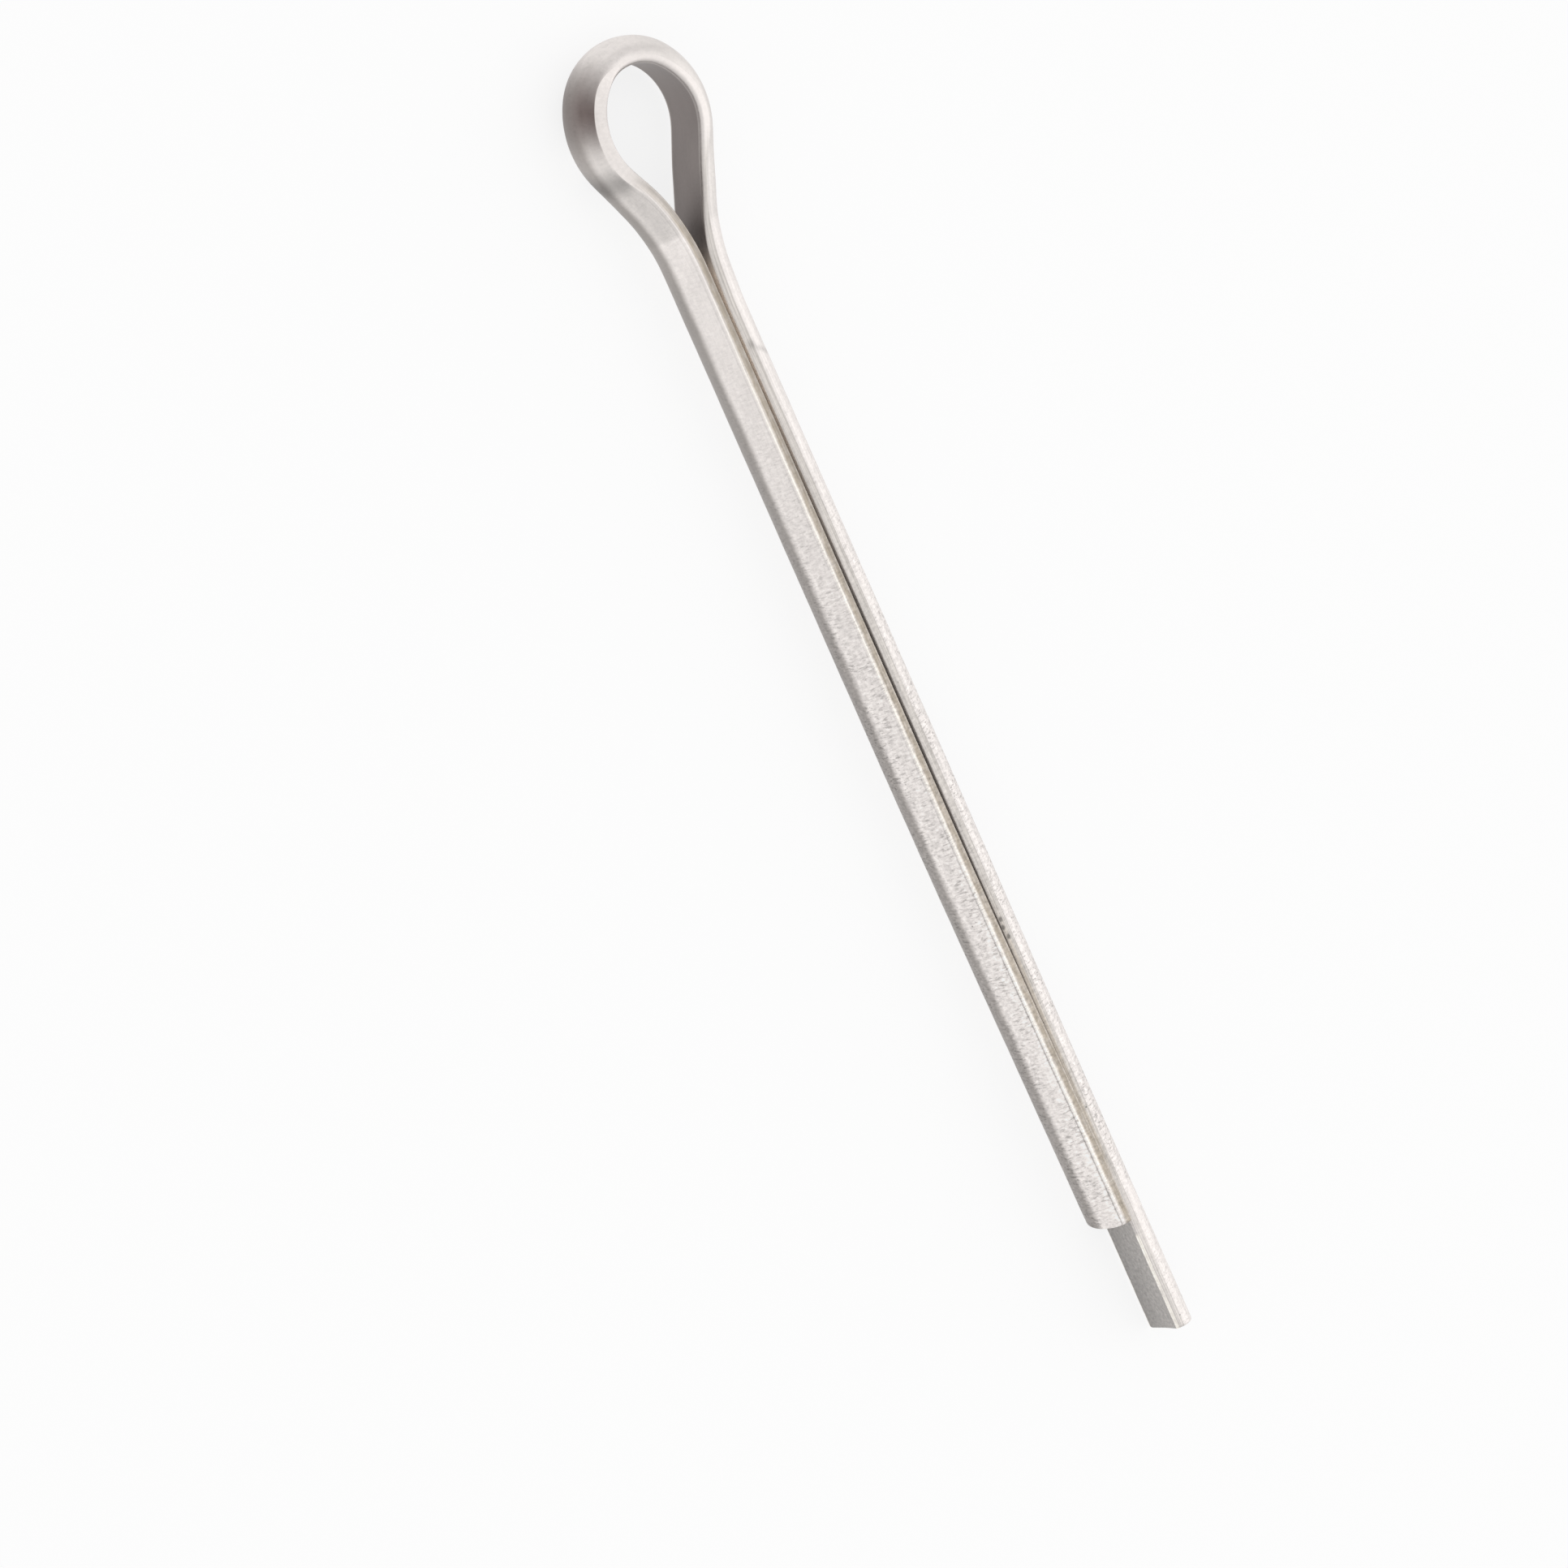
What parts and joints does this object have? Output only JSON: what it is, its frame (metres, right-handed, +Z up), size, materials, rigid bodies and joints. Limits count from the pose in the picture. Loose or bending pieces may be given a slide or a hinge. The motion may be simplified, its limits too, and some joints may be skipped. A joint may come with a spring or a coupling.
{
  "type": "split cotter pin",
  "caption": "Split cotter pin: half-round wire folded into an open eye, with two unequal legs lying flat to flat as a round shank.",
  "frame": {"origin": "middle of the bottom of the overall box, on the surface that the pin lies on", "axes": "+X along the legs from the eye to the tips, +Y across the eye towards the long leg, +Z up across the wire's width"},
  "size_m": [0.0674, 0.007, 0.0031],
  "materials": {
    "wire": "bright drawn satin, with the die's lengthwise lines"
  },
  "bodies": {
    "root": {"cotter_pin": "wire"}
  },
  "joints": []
}
